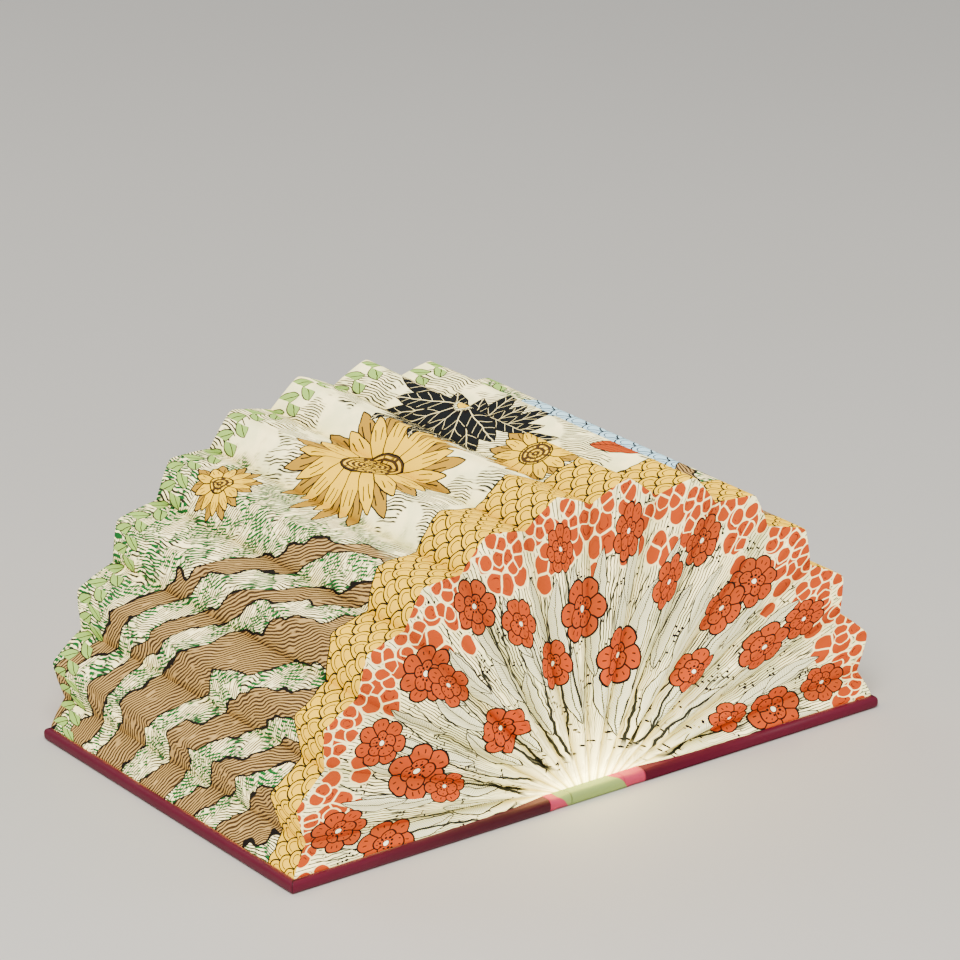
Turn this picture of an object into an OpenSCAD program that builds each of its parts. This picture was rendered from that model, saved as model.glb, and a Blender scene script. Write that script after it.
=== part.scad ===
// Folding book lamp, standing open and flat: X across the covers, Y along the spine, Z up from the table.

/* [Case] */
// Length of the covers and the spine, head to foot
book_height = 216; // [180:1:260]
// Width of one cover, from its fore-edge to the joint
cover_width = 142; // [120:1:170]
// Thickness of a wrapped cover and of the spine
cover_thick = 6; // [5.6:0.1:7.5]
// Width of the closed book's back, over both covers
spine_width = 34; // [32:0.5:44]
// Width of the cloth joint between the spine and a cover
joint_width = 10.6; // [9:0.1:14]
// Thickness of the covering cloth
cloth_thick = 0.8; // [0.5:0.05:1]
// Thickness of the doubled cloth that the covers hinge on
joint_thick = 1.8; // [1.4:0.1:2.2]
// Radius of the rounded outer edges of the case
edge_round = 2.4; // [1.2:0.1:2.6]
// Width of the cloth turned in over the inside of a cover
turn_in = 15; // [10:1:25]
// Clearance of the hinge bead in its cradle
bead_gap = 0.05; // [0.02:0.01:0.1]

/* [Pages] */
// How far the pages stay inside the covers' edges
page_inset = 2.5; // [2.5:0.1:6]
// How much further the free ridges stand out than the page edge that is glued down
ridge_rise = 4.5; // [0:0.1:6]
// Depth of the pleats, ridge to valley
pleat_depth = 10; // [5:0.5:16]
// How far the valleys draw in at the head and the foot
valley_draw = 1.5; // [0:0.1:4]
// Thickness of the page sheet
page_thick = 0.4; // [0.2:0.05:0.6]
// Distance from the end of the case to the gathered folds
root_inset = 7; // [5:0.5:12]
// Height of the fan's centre above the spine
fan_lift = 3.6; // [2:0.1:6]
// Angle by which the lowest folds droop below level
fan_droop = 2.3; // [0:0.1:3]
// Clearance between neighbouring pleats
pleat_gap = 0.2; // [0.1:0.05:0.4]

/* [Light bar] */
// Width of the light bar's trough
bar_width = 19.2; // [18.4:0.2:20]
// Height of the trough above the spine board
bar_height = 7.8; // [7.6:0.1:9]
// Height of the diffuser's crown above the trough
crown_height = 4.4; // [3:0.1:5]
// Wall of the tray and the diffuser
bar_wall = 1.2; // [0.8:0.1:1.4]
// Thickness of the spine board
spine_board_thick = 2; // [1.5:0.1:2.4]
// Thickness of the two circuit boards
board_thick = 1; // [0.8:0.1:1.2]
// Number of lights above each battery cell
leds_per_cell = 3; // [3, 5]
// Length of one battery cell
cell_length = 38; // [30:1:40]
// Width of a battery cell
cell_width = 14; // [10:0.5:14]
// Thickness of a battery cell
cell_thick = 3.4; // [2.6:0.1:3.6]
// Radius of the screws' shanks
screw_r = 0.8; // [0.6:0.05:1]
// Diameter of the magnet that works the switch
magnet_d = 8; // [5:0.5:10]
// Thickness of that magnet
magnet_thick = 2; // [1:0.1:2.5]

/* [Hidden] */
$fn = 64;
PITCHES = 13;
FREE_PLEATS = [for (k = [1:PITCHES - 1]) str("pleat_", k)];
CUT = 1;

// Case
half_height = book_height / 2;
bead_r = joint_thick / 2;
hinge_x = spine_width / 2 - bead_r;
hinge_z = bead_r;
spine_half = hinge_x - bead_r - 2 * bead_gap;
joint_edge = spine_width / 2 + joint_width;
half_width = joint_edge + cover_width;
spine_turn_in = root_inset + 3;

// Pages: fold k runs from 0 at the left fore-edge to PITCHES at the right, with the valleys half way
root_half = joint_edge;
ridge_r = cover_width - page_inset + ridge_rise;
valley_r = ridge_r - pleat_depth;
fan_z = cover_thick + fan_lift;
ridge_y = half_height - page_inset;
valley_y = ridge_y - valley_draw;
root_y = half_height - root_inset;
wall_in = page_thick * 1.15;

// Light bar
board_top = cloth_thick + spine_board_thick;
flange_top = board_top + bar_wall;
trough_top = board_top + bar_height;
bar_half = bar_width / 2;
bar_end = half_height - root_inset - 4;
block_start = bar_end - 5;
inner_half = bar_half - bar_wall;
led_board_z = trough_top - board_thick - bar_wall;
led_board_half = inner_half - 0.2;
ledge = 1;
boss_r = screw_r + 1.4;
cell_pitch = cell_length + 2 * boss_r + 0.6;
screw_y = [cell_pitch / 2, 1.5 * cell_pitch];
led_pitch = cell_pitch / leds_per_cell;
switch_y = cell_pitch / 2;
pocket_half = 7.3;
rail = 1.1;
pocket_start = bar_end - 13;
socket_z = cover_thick / 2;
socket_w = 8.94;
socket_h = 3.2;
socket_l = 7.3;
socket_wall = 0.3;
charge_half = pocket_half - 0.3;
wire_r = 0.45;

function angle(k) = -fan_droop + (180 + 2 * fan_droop) * k / PITCHES;
function root_x(k) = root_half * (2 * k / PITCHES - 1);
// A point in the plane of the fan, r from the root of fold k and s along the arc
function fan_point(k, r, s = 0) = [
    root_x(k) - r * cos(angle(k)) + s * sin(angle(k)),
    fan_z + r * sin(angle(k)) + s * cos(angle(k))];
function at(p, y) = [p[0], y, p[1]];

module stadium(w, h) {
    square([w - h, h], center = true);
    for (x = [-1, 1]) translate([x * (w - h) / 2, 0]) circle(d = h);
}

// A plate's cross-section, length by thickness, with both ends rounded
module round_ends(half_length, low, high, r) {
    translate([-half_length + r, low]) square([2 * (half_length - r), high - low]);
    translate([-half_length, low + r]) square([2 * half_length, high - low - 2 * r]);
    for (y = [-1, 1], z = [low + r, high - r]) translate([y * (half_length - r), z]) circle(r);
}

// A bar along X whose cross-section lies in the YZ plane
module bar_x(x0, x1) {
    translate([x0, 0, 0]) rotate([90, 0, 90]) linear_extrude(x1 - x0) children();
}

// A bar along Y whose cross-section lies in the XZ plane
module bar_y(y0, y1) {
    translate([0, y1, 0]) rotate([90, 0, 0]) linear_extrude(y1 - y0) children();
}

module box(x, y, z) {
    translate([x[0], y[0], z[0]]) cube([x[1] - x[0], y[1] - y[0], z[1] - z[0]]);
}

// The right cover's outline drawn in by inset, with its three outer edges rounded and mitred
module cover_blank(inset) {
    r = edge_round - inset;
    low = inset;
    high = cover_thick - inset;
    intersection() {
        bar_x(joint_edge + inset, half_width - inset) round_ends(half_height - inset, low, high, r);
        bar_y(-half_height, half_height) {
            translate([joint_edge + inset, low]) square([cover_width - 2 * inset - r, high - low]);
            translate([joint_edge + inset, low + r]) square([cover_width - 2 * inset, high - low - 2 * r]);
            for (z = [low + r, high - r]) translate([half_width - inset - r, z]) circle(r);
        }
    }
}

module lining_space() {
    box([joint_edge + cloth_thick, half_width - turn_in], [turn_in - half_height, half_height - turn_in],
        [cover_thick - cloth_thick, cover_thick]);
}

module magnet_place() {
    translate([joint_edge + magnet_d, switch_y, cover_thick - cloth_thick - magnet_thick])
        cylinder(d = magnet_d, h = magnet_thick);
}

module cover_board() { cover_blank(cloth_thick); }

module cover_wrap() {
    difference() {
        cover_blank(0);
        cover_blank(cloth_thick);
        lining_space();
    }
}

// The hinge bead and the strip of doubled cloth between it and the cover
module joint_cloth() {
    bar_y(-half_height + edge_round / 2, half_height - edge_round / 2) {
        translate([hinge_x, hinge_z]) circle(bead_r);
        translate([hinge_x, 0]) square([joint_edge - hinge_x, joint_thick]);
    }
}

// The cloth over the inside of a joint, turned down at the head and the foot to close its ends
module joint_lining() {
    bar_x(spine_half, joint_edge) difference() {
        round_ends(half_height, 0, cover_thick, edge_round);
        round_ends(half_height - cloth_thick, 0, cover_thick - cloth_thick, edge_round - cloth_thick);
        translate([-half_height, 0]) square([book_height, joint_thick]);
    }
}

// The cavity under the spine's cloth, rounded at the head and the foot
module spine_cavity() {
    bar_x(-spine_half, spine_half)
        round_ends(half_height - cloth_thick, cloth_thick, cover_thick - cloth_thick, edge_round - cloth_thick);
}

module socket_opening(gap) {
    translate([0, half_height - 2 * cloth_thick, socket_z]) rotate([-90, 0, 0])
        linear_extrude(3 * cloth_thick) stadium(socket_w + 2 * gap, socket_h + 2 * gap);
}

module spine_wrap() {
    color("darkseagreen") difference() {
        union() {
            bar_x(-spine_half, spine_half) round_ends(half_height, 0, cover_thick, edge_round);
            intersection() {
                bar_x(-hinge_x, hinge_x) round_ends(half_height, 0, cover_thick, edge_round);
                box([-hinge_x, hinge_x], [-half_height, half_height], [0, hinge_z]);
            }
        }
        spine_cavity();
        box([-spine_half - CUT, spine_half + CUT], [spine_turn_in - half_height, half_height - spine_turn_in],
            [hinge_z, cover_thick + CUT]);
        box([-spine_half, spine_half], [spine_turn_in - half_height, half_height - spine_turn_in],
            [cloth_thick, cover_thick + CUT]);
        for (x = [-hinge_x, hinge_x])
            bar_y(-half_height - CUT, half_height + CUT) translate([x, hinge_z]) circle(bead_r + bead_gap);
        socket_opening(0.3);
    }
}

module spine_board() {
    color("tan") box([-spine_half, spine_half], [-block_start, pocket_start], [cloth_thick, board_top]);
}

module screw_places() {
    for (y = screw_y, s = [-1, 1]) translate([0, s * y, 0]) children();
}

module light_tray() {
    color("whitesmoke") difference() {
        union() {
            box([-spine_half, spine_half], [-bar_end, bar_end], [board_top, flange_top]);
            difference() {
                box([-bar_half, bar_half], [-bar_end, bar_end], [board_top, trough_top]);
                box([-inner_half, inner_half], [bar_wall - bar_end, bar_end - bar_wall],
                    [flange_top, trough_top + CUT]);
            }
            for (x = [-inner_half - CUT, inner_half - ledge])
                box([x, x + ledge + CUT], [-bar_end, bar_end], [led_board_z - 1, led_board_z]);
            screw_places() translate([0, 0, board_top]) cylinder(r = boss_r, h = led_board_z - board_top);
            intersection() {
                spine_cavity();
                union() {
                    box([-spine_half, spine_half], [-half_height, -block_start], [0, cover_thick]);
                    box([-spine_half, spine_half], [pocket_start, half_height], [0, cover_thick]);
                }
            }
        }
        screw_places() translate([0, 0, flange_top]) cylinder(r = screw_r, h = cover_thick);
        box([rail - pocket_half, pocket_half - rail], [pocket_start + bar_wall, half_height - 3 * cloth_thick],
            [socket_z - socket_h / 2 - 0.1, socket_z]);
        box([-pocket_half, pocket_half], [pocket_start + bar_wall, half_height - 3 * cloth_thick],
            [socket_z - board_thick / 2, socket_z + socket_h / 2 + 0.1]);
        box([-pocket_half, pocket_half], [pocket_start + bar_wall, bar_end - bar_wall],
            [socket_z, cover_thick]);
        translate([0, half_height - 4 * cloth_thick, socket_z]) rotate([-90, 0, 0])
            linear_extrude(4 * cloth_thick) stadium(socket_w + 0.2, socket_h + 0.2);
    }
}

// An arc that rises over the trough, half its width and its height given
module crown(half, rise) {
    r = (half * half + rise * rise) / (2 * rise);
    translate([0, trough_top]) intersection() {
        translate([0, rise - r]) circle(r, $fn = 128);
        translate([-half, 0]) square([2 * half, rise]);
    }
}

module light_diffuser() {
    lip = inner_half - 0.1;
    color("white") difference() {
        union() {
            bar_y(-bar_end, bar_end) crown(bar_half, crown_height);
            box([-lip, lip], [bar_wall - bar_end + 0.1, bar_end - bar_wall - 0.1],
                [led_board_z + board_thick, trough_top]);
        }
        bar_y(2 * bar_wall - bar_end, bar_end - 2 * bar_wall) crown(lip - bar_wall, crown_height - bar_wall);
        box([bar_wall - lip, lip - bar_wall], [2 * bar_wall - bar_end, bar_end - 2 * bar_wall],
            [led_board_z, trough_top]);
    }
}

module led_board() {
    color("mintcream") difference() {
        box([-led_board_half, led_board_half], [bar_wall - bar_end + 0.2, bar_end - bar_wall - 0.2],
            [led_board_z, led_board_z + board_thick]);
        screw_places() translate([0, 0, led_board_z - CUT]) cylinder(r = screw_r + 0.3, h = board_thick + 2 * CUT);
    }
}

module leds() {
    count = floor((bar_end - 6) / led_pitch);
    for (i = [-count:count])
        translate([0, i * led_pitch, led_board_z + board_thick]) {
            color("ivory") translate([-1.75, -1.4, 0]) cube([3.5, 2.8, 0.5]);
            color("khaki") translate([0, 0, 0.5]) cylinder(d = 2.4, h = 0.2);
        }
}

module board_screws() {
    color("silver") screw_places() {
        translate([0, 0, flange_top]) cylinder(r = screw_r, h = led_board_z + board_thick - flange_top);
        translate([0, 0, led_board_z + board_thick]) difference() {
            cylinder(r = screw_r * 2, h = 1);
            translate([0, 0, 0.6]) {
                cube([screw_r * 2, 0.4, 1], center = true);
                cube([0.4, screw_r * 2, 1], center = true);
            }
        }
    }
}

module battery_cells() {
    color("lightsteelblue") for (y = [-cell_pitch, 0, cell_pitch])
        bar_y(y - cell_length / 2, y + cell_length / 2)
            translate([0, flange_top + cell_thick / 2]) {
                square([cell_width - 2, cell_thick], center = true);
                square([cell_width, cell_thick - 2], center = true);
                for (x = [-1, 1], z = [-1, 1])
                    translate([x * (cell_width / 2 - 1), z * (cell_thick / 2 - 1)]) circle(1);
            }
}

module charge_board() {
    color("seagreen") difference() {
        box([-charge_half, charge_half], [pocket_start + bar_wall + 0.2, half_height - 3 * cloth_thick - 0.2],
            [socket_z - board_thick / 2, socket_z + board_thick / 2]);
        box([-socket_w / 2, socket_w / 2], [half_height - cloth_thick / 2 - socket_l, half_height], [0, cover_thick]);
    }
}

module usb_socket() {
    color("silver") translate([0, half_height - cloth_thick / 2, socket_z]) rotate([90, 0, 0]) difference() {
        linear_extrude(socket_l) stadium(socket_w, socket_h);
        difference() {
            translate([0, 0, -CUT]) linear_extrude(socket_l - 1 + CUT)
                stadium(socket_w - 2 * socket_wall, socket_h - 2 * socket_wall);
            translate([-3.3, -0.35, 1]) cube([6.6, 0.7, socket_l]);
        }
    }
}

module hall_switch() {
    color("dimgray") box([-inner_half + ledge + 1, -inner_half + ledge + 4], [switch_y - 1.5, switch_y + 1.5],
        [led_board_z - 1.2, led_board_z]);
}

// A wire bent at each of its inner points
module wire(points) {
    for (i = [1:len(points) - 1]) {
        run = points[i] - points[i - 1];
        translate(points[i - 1]) rotate([0, acos(run[2] / norm(run)), atan2(run[1], run[0])])
            cylinder(r = wire_r, h = norm(run));
        if (i < len(points) - 1) translate(points[i]) sphere(wire_r);
    }
}

module wire_leads() {
    cell_side = cell_width / 2;
    run_x = inner_half - wire_r - 0.05;
    run_z = flange_top + cell_thick / 2;
    pad_x = charge_half - 1;
    pad_y = pocket_start + bar_wall + 2;
    pad_z = socket_z + board_thick / 2;
    for (s = [-1, 1]) color(s < 0 ? "firebrick" : "black") {
        wire([[s * cell_side, -cell_pitch, run_z], [s * run_x, -cell_pitch, run_z], [s * run_x, pad_y, run_z],
            [s * pad_x, pad_y, run_z], [s * pad_x, pad_y, pad_z]]);
        for (y = [0, cell_pitch]) wire([[s * cell_side, y, run_z], [s * run_x, y, run_z]]);
        wire([[s * pad_x / 2, pad_y, pad_z], [s * pad_x / 2, pad_y, led_board_z]]);
    }
}

// A folded sheet, closed as a solid: near-end points outside and inside, mirrored to the far end.
// ends are the near end's triangles, tops the edges that run through to the far end, and chain the near
// end's open edge, in order.
module page_shell(outer, inner, ends, tops, chain) {
    n = len(outer);
    function far_side(list) = [for (p = list) [p[0], -p[1], p[2]]];
    function id(i, inside, far) = i + n * (inside + 2 * far);
    points = concat(outer, inner, far_side(outer), far_side(inner));
    skin = [for (side = [0, 1], f = ends) side == 0 ? f : [f[2] + 2 * n, f[1] + 2 * n, f[0] + 2 * n]];
    sheets = [for (e = tops) each [
        [id(e[0], 0, 0), id(e[0], 0, 1), id(e[1], 0, 1)],
        [id(e[0], 0, 0), id(e[1], 0, 1), id(e[1], 0, 0)]]];
    outside = concat(skin, sheets);
    inside = [for (f = outside) [f[2] + n, f[1] + n, f[0] + n]];
    loop = concat(chain, [for (i = [len(chain) - 1:-1:0]) chain[i] + 2 * n]);
    rim = [for (i = [0:len(loop) - 1]) let (u = loop[i], v = loop[(i + 1) % len(loop)]) each [
        [v, u, u + n], [v, u + n, v + n]]];
    polyhedron(points = points, faces = concat(outside, inside, rim));
}

function valley_point(k, s, inset, y) = at(fan_point(k, valley_r - inset, s), y);

// Pleat k between the valleys on either side of its ridge, gathered to three points at its root
module pleat(k) {
    g = pleat_gap / 2;
    function near_end(inset) = [
        [root_x(k - 0.5) + g, -root_y + inset, cover_thick],
        [root_x(k), -root_y + inset, cover_thick],
        [root_x(k + 0.5) - g, -root_y + inset, cover_thick],
        valley_point(k + 0.5, -g, inset, -valley_y + inset),
        at(fan_point(k, ridge_r - inset), -ridge_y + inset),
        valley_point(k - 0.5, g, inset, -valley_y + inset)];
    color("ivory") page_shell(near_end(0), near_end(wall_in),
        [[0, 5, 4], [0, 4, 1], [1, 4, 3], [1, 3, 2]], [[5, 4], [4, 3]], [3, 2, 1, 0, 5]);
}

// The half pleat whose edge is glued down along the left cover's fore-edge
module end_pleat() {
    g = pleat_gap / 2;
    function near_end(inset) = [
        [root_x(0), -root_y + inset, cover_thick],
        [root_x(0.5) - g, -root_y + inset, cover_thick],
        valley_point(0.5, -g, inset, -valley_y + inset),
        [page_inset - half_width + 2 * inset, -ridge_y + inset, cover_thick]];
    color("ivory") page_shell(near_end(0), near_end(wall_in), [[0, 3, 2], [0, 2, 1]], [[3, 2]], [2, 1, 0, 3]);
}

spine_wrap();
spine_board();
light_tray();
light_diffuser();
led_board();
leds();
board_screws();
battery_cells();
charge_board();
usb_socket();
hall_switch();
wire_leads();
color("tan") mirror([1, 0, 0]) difference() {  // left_cover_board
        cover_board();
        magnet_place();
    }
color("silver") mirror([1, 0, 0]) magnet_place();  // switch_magnet
color("crimson") mirror([1, 0, 0]) cover_wrap();  // left_cover_wrap
color("linen") mirror([1, 0, 0]) lining_space();  // left_cover_lining
color("crimson") mirror([1, 0, 0]) joint_cloth();  // left_joint_cloth
color("palevioletred") mirror([1, 0, 0]) joint_lining();  // left_joint_lining
end_pleat();  // left_end_pleat
color("tan") cover_board();  // right_cover_board
color("crimson") cover_wrap();  // right_cover_wrap
color("linen") lining_space();  // right_cover_lining
color("crimson") joint_cloth();  // right_joint_cloth
color("palevioletred") joint_lining();  // right_joint_lining
mirror([1, 0, 0]) end_pleat();  // right_end_pleat
for (k = [1:PITCHES - 1])
    pleat(k);
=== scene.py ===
import math

import bmesh
import bpy
from mathutils import Matrix, Vector, noise


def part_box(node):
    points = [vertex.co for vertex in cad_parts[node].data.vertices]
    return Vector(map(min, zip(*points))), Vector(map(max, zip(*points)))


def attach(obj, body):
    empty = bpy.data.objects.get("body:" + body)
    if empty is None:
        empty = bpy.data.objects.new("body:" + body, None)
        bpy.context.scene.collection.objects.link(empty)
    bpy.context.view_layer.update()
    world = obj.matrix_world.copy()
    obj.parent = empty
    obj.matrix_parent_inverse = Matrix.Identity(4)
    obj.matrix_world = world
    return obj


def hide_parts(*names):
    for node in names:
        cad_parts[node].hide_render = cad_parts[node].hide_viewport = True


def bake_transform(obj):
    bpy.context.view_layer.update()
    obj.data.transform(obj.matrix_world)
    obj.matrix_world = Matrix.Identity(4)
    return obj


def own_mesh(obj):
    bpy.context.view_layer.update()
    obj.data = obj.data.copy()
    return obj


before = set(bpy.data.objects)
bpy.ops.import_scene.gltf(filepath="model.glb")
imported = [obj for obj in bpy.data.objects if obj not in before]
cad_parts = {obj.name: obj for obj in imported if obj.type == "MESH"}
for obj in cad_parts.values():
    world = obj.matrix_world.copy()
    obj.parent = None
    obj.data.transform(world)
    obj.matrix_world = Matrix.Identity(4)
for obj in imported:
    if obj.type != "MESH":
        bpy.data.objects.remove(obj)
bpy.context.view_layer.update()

mm = 0.001
print("frame loaded")


# ---- camera, light and floor

view = {"azimuth": -35.35, "elevation": 20.51, "roll": -1.02, "distance": 2.187,
        "target": (0.0618, 0.0694, 0.0901), "lens": 166.5, "sensor": 36}


def placeCamera():
    azimuth, elevation = math.radians(view["azimuth"]), math.radians(view["elevation"])
    back = Vector((math.sin(azimuth) * math.cos(elevation), -math.cos(azimuth) * math.cos(elevation),
                   math.sin(elevation)))
    data = bpy.data.cameras.new("camera")
    data.lens, data.sensor_width = view["lens"], view["sensor"]
    data.clip_end = 50
    camera = bpy.data.objects.new("camera", data)
    camera.location = Vector(view["target"]) + view["distance"] * back
    facing = back.to_track_quat("Z", "Y").to_matrix() @ Matrix.Rotation(math.radians(view["roll"]), 3, "Z")
    camera.rotation_euler = facing.to_euler()
    bpy.context.scene.collection.objects.link(camera)
    bpy.context.scene.camera = camera


studio = {"floor": 6, "aim": (0, 0, 0.05), "sky": (0.86, 0.88, 0.9, 1), "skyStrength": 0.42,
          "key": {"place": (-0.9, -1.1, 1.7), "size": 1.1, "power": 60, "tint": (1, 0.96, 0.9)},
          "fill": {"place": (1.6, -1.0, 1.1), "size": 1.6, "power": 9, "tint": (0.93, 0.96, 1)},
          "back": {"place": (-0.5, 1.7, 1.5), "size": 1.4, "power": 12, "tint": (1, 0.98, 0.95)}}


def lightStudio():
    for name in ("key", "fill", "back"):
        lamp = studio[name]
        data = bpy.data.lights.new(name, "AREA")
        data.shape, data.size, data.energy, data.color = "DISK", lamp["size"], lamp["power"], lamp["tint"]
        light = bpy.data.objects.new(name, data)
        light.location = lamp["place"]
        light.rotation_euler = (Vector(studio["aim"]) - light.location).to_track_quat("-Z", "Y").to_euler()
        bpy.context.scene.collection.objects.link(light)
    world = bpy.data.worlds.new("studio")
    world.use_nodes = True
    sky = world.node_tree.nodes["Background"].inputs
    sky["Color"].default_value, sky["Strength"].default_value = studio["sky"], studio["skyStrength"]
    bpy.context.scene.world = world


# ---- materials

class Field:
    # A number that varies over a surface. Each sum or product of fields is one Math node.
    def __init__(self, tree, socket):
        self.tree, self.socket = tree, socket

    def step(self, operation, *others, clamp=False):
        made = self.tree.nodes.new("ShaderNodeMath")
        made.operation, made.use_clamp = operation, clamp
        for place, value in zip(made.inputs, (self, *others)):
            feed(self.tree, place, value)
        return Field(self.tree, made.outputs[0])

    def __add__(self, other): return self.step("ADD", other)
    def __sub__(self, other): return self.step("SUBTRACT", other)
    def __rsub__(self, other): return self.step("MULTIPLY_ADD", -1, other)
    def __mul__(self, other): return self.step("MULTIPLY", other)
    def __rmul__(self, other): return self.step("MULTIPLY", other)
    def __truediv__(self, other): return self.step("DIVIDE", other)
    def __pow__(self, other): return self.step("POWER", other)
    def __abs__(self): return self.step("ABSOLUTE")
    def sin(self): return self.step("SINE")
    def cos(self): return self.step("COSINE")
    def floor(self): return self.step("FLOOR")
    def round(self): return self.step("ROUND")
    def fract(self): return self.step("FRACT")
    def least(self, other): return self.step("MINIMUM", other)
    def most(self, other): return self.step("MAXIMUM", other)

    def inside(self, soft=0.16):
        # 1 where a distance in mm is negative and 0 where it is positive, with a soft edge
        return self.step("MULTIPLY_ADD", -1 / soft, 0.5, clamp=True)

    def stroke(self, width, soft=0.16):
        return (abs(self) - width / 2).inside(soft)


def feed(tree, place, value):
    if isinstance(value, Field):
        tree.links.new(value.socket, place)
    elif isinstance(value, bpy.types.NodeSocket):
        tree.links.new(value, place)
    else:
        place.default_value = value


def hypot(x, y): return (x * x + y * y) ** 0.5
def angleOf(x, y): return y.step("ARCTAN2", x)


def ink(code):
    # The linear colour of a web colour code
    parts = [int(code[i:i + 2], 16) / 255 for i in (1, 3, 5)]
    return (*[p / 12.92 if p <= 0.04045 else ((p + 0.055) / 1.055) ** 2.4 for p in parts], 1)


class Finish:
    # One material under way: its nodes, its colour so far and its shader
    def __init__(self, name, **constants):
        self.material = bpy.data.materials.new(name)
        self.material.use_nodes = True
        self.tree = self.material.node_tree
        self.shader = self.tree.nodes["Principled BSDF"]
        for socket, value in constants.items():
            self.shader.inputs[socket.replace("_", " ")].default_value = value

    def node(self, kind, feeds=None, **settings):
        made = self.tree.nodes.new(kind)
        for key, value in settings.items():
            setattr(made, key, value)
        for key, value in (feeds or {}).items():
            feed(self.tree, made.inputs[key], value)
        return made

    def place(self, wobble=0, size=10, uvMap=None, scale=1000):
        # The surface's own coordinates, in mm at scale 1000, shaken a little as a hand-drawn line is
        if uvMap:
            start = self.node("ShaderNodeUVMap", uv_map=uvMap).outputs[0]
        else:
            start = self.node("ShaderNodeTexCoord").outputs["Object"]
        spot = self.node("ShaderNodeVectorMath", {0: start, "Scale": scale}, operation="SCALE").outputs[0]
        if wobble:
            shake = self.node("ShaderNodeTexNoise", {"Vector": spot, "Scale": 1 / size, "Detail": 2.0})
            shift = self.node("ShaderNodeVectorMath", {0: shake.outputs["Color"], 1: (0.5, 0.5, 0.5)},
                              operation="SUBTRACT").outputs[0]
            shift = self.node("ShaderNodeVectorMath", {0: shift, "Scale": wobble},
                              operation="SCALE").outputs[0]
            spot = self.node("ShaderNodeVectorMath", {0: spot, 1: shift}, operation="ADD").outputs[0]
        self.spot = spot
        parts = self.node("ShaderNodeSeparateXYZ", {0: spot})
        return [Field(self.tree, out) for out in parts.outputs]

    def cloud(self, size, detail=2.0, x=None, y=None):
        # Smooth noise from 0 to 1, with lumps of about size mm
        spot = self.spot if x is None else self.node("ShaderNodeCombineXYZ", {0: x, 1: y}).outputs[0]
        made = self.node("ShaderNodeTexNoise", {"Vector": spot, "Scale": 1 / size, "Detail": detail})
        return Field(self.tree, made.outputs[0])

    def chance(self, number, seed=0):
        # A random value from 0 to 1 for each whole number
        spot = self.node("ShaderNodeCombineXYZ", {0: number, 1: seed}).outputs[0]
        made = self.node("ShaderNodeTexWhiteNoise", {"Vector": spot}, noise_dimensions="2D")
        return Field(self.tree, made.outputs[0])

    def paint(self, under, over, mask, blend="MIX"):
        # under with over laid on it where mask is 1
        return self.node("ShaderNodeMix", {0: mask, 6: under, 7: over}, data_type="RGBA",
                         blend_type=blend).outputs[2]

    def relief(self, height, depth, strength=1.0):
        # A bump of depth mm, from a height field of 0 to 1
        made = self.node("ShaderNodeBump", {"Height": height, "Distance": depth * mm, "Strength": strength})
        feed(self.tree, self.shader.inputs["Normal"], made.outputs[0])

    def wear(self, colour, **others):
        feed(self.tree, self.shader.inputs["Base Color"], colour)
        for socket, value in others.items():
            feed(self.tree, self.shader.inputs[socket.replace("_", " ")], value)
        return self.material


colours = {"paper": ink("#fff6cc"), "paperShade": ink("#efe3b4"), "wash": ink("#dcdcb4"),
           # crease is a painted shade colour, laid over the paper toward the valleys of its folds
           "crease": ink("#d6d0a8"), "pen": ink("#2c2d20"), "outline": ink("#170f0a"),
           "coral": ink("#b05319"), "coralDeep": ink("#6e1a0c"), "leaf": ink("#e3dfbe"),
           "meadow": ink("#1c6a30"), "tan": ink("#b59b68"), "brown": ink("#503a1c"),
           "gold": ink("#e2c11a"), "goldDeep": ink("#b08f2c"), "slate": ink("#15181a"),
           # pink is the panel's pink print, and also painted light: the crimson cloth of the joints and the
           # spine as it looks lit by the lamp
           "blue": ink("#b4ccd4"), "crimson": ink("#68122e"), "pinkPrintAndLitCrimson": ink("#cf4062"),
           "sage": ink("#9fb868"), "cream": ink("#efe6d0")}


def petals(f, under, r, turn, radius, count, fill, depth, sharp, core, line):
    # A flower seen from above: r and turn are polar coordinates about its middle. depth is how far the petals
    # part and sharp how pointed that is; core is the part that its lines leave free, and line their width
    beat = turn * (count / math.tau)
    side = abs(beat - beat.round()) * 2  # 0 along the middle of a petal and 1 between two petals
    slope = side ** (sharp - 1) * (depth * sharp * count / math.pi)
    edge = (r - radius * (1 - depth * side ** sharp)) / (slope * slope + 1) ** 0.5
    under = f.paint(under, fill, edge.inside())
    across = r * (math.pi / count)
    between = ((1 - side) * across - line * 0.4).inside().least((radius * core - r).inside())
    veins = ((side - 0.3).stroke(0.1, 0.04)).least((r - radius * 0.8).inside()).least(
        (radius * core * 2 - r).inside())
    marks = between.most(veins).least((edge + 0.2).inside()).most(edge.stroke(line))
    return f.paint(under, colours["outline"], marks)


def stamens(f, under, r, turn, radius, fill):
    # A pale eye with a ring of dark dots round it
    under = f.paint(under, fill, (r - radius * 0.5).inside())
    beat = turn * (9 / math.tau)
    dots = hypot((beat - beat.round()) * r * (math.tau / 9), r - radius)
    return f.paint(under, colours["outline"], (dots - radius * 0.2).inside().most(
        (r - radius * 0.5).stroke(0.4)))


def bladeEdge(x, y, length, width):
    # How far a point is outside a pointed leaf that starts at the origin and runs along y
    share = y / length * 2 - 1
    half = (1 - share * share).most(0) ** 0.8 * (width / 2)
    return (abs(x) - half).most(abs(y - length / 2) - length / 2)


def turned(x, y, lean):
    # The same point along axes that lean by an angle
    return x * math.cos(lean) - y * math.sin(lean), x * math.sin(lean) + y * math.cos(lean)


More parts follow.
